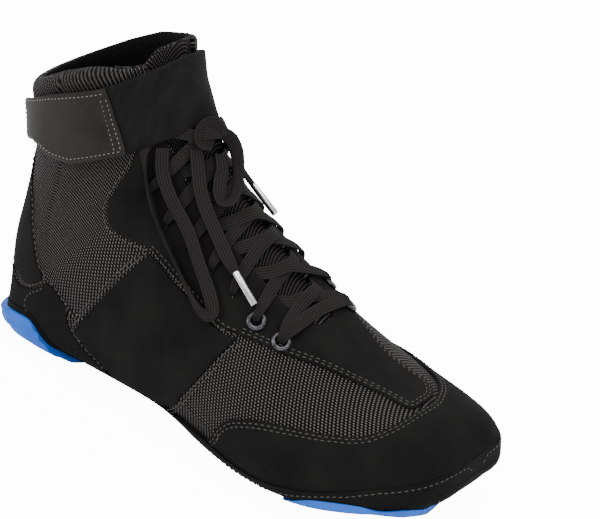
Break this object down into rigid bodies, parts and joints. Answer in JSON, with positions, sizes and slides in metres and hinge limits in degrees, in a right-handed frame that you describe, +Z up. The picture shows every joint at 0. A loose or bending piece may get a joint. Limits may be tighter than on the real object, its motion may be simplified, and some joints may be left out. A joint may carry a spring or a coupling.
{
  "type": "wrestling shoe",
  "caption": "High-top wrestling shoe for the right foot with a mesh upper, suede overlays, split rubber sole, lace and ankle strap.",
  "frame": {"origin": "middle of the shoe's footprint box, on the floor it stands on", "axes": "+X from heel to toe, +Y to the inner side of the foot, +Z up"},
  "size_m": [0.2678, 0.1116, 0.1676],
  "materials": {
    "air_mesh": "coarse black spacer mesh over a black base",
    "lining": "brushed black lining cloth",
    "black_rubber": "matt moulded rubber",
    "blue_rubber": "satin moulded blue gum rubber",
    "black_suede": "fine-napped black synthetic suede with stitched edges",
    "elastic": "tight woven black elastic webbing",
    "strap_leather": "matt black grained synthetic leather",
    "gunmetal": "dark plated rolled eyelet ring",
    "lace_cotton": "flat ribbed black woven lace",
    "aglet": "crimped bright metal lace tip"
  },
  "bodies": {
    "root": {"upper": "air_mesh", "tongue": "air_mesh", "insole": "lining", "midsole": "black_rubber", "outsole_heel": "blue_rubber", "outsole_forefoot": "blue_rubber", "toe_cap": "black_suede", "eyestay": "black_suede", "saddle_lateral": "black_suede", "saddle_medial": "black_suede", "heel_foxing": "black_suede", "back_stay": "black_suede", "strap_elastic": "elastic", "strap_anchor": "strap_leather", "strap_tab": "strap_leather", "eyelet_lateral_1": "gunmetal", "eyelet_lateral_2": "gunmetal", "eyelet_medial_1": "gunmetal", "eyelet_medial_2": "gunmetal", "lace_crossings": "lace_cotton", "lace_knot": "lace_cotton", "lace_loop_lateral": "lace_cotton", "lace_loop_medial": "lace_cotton", "lace_end_lateral": "lace_cotton", "lace_end_medial": "lace_cotton", "aglet_lateral": "aglet", "aglet_medial": "aglet"}
  },
  "joints": []
}
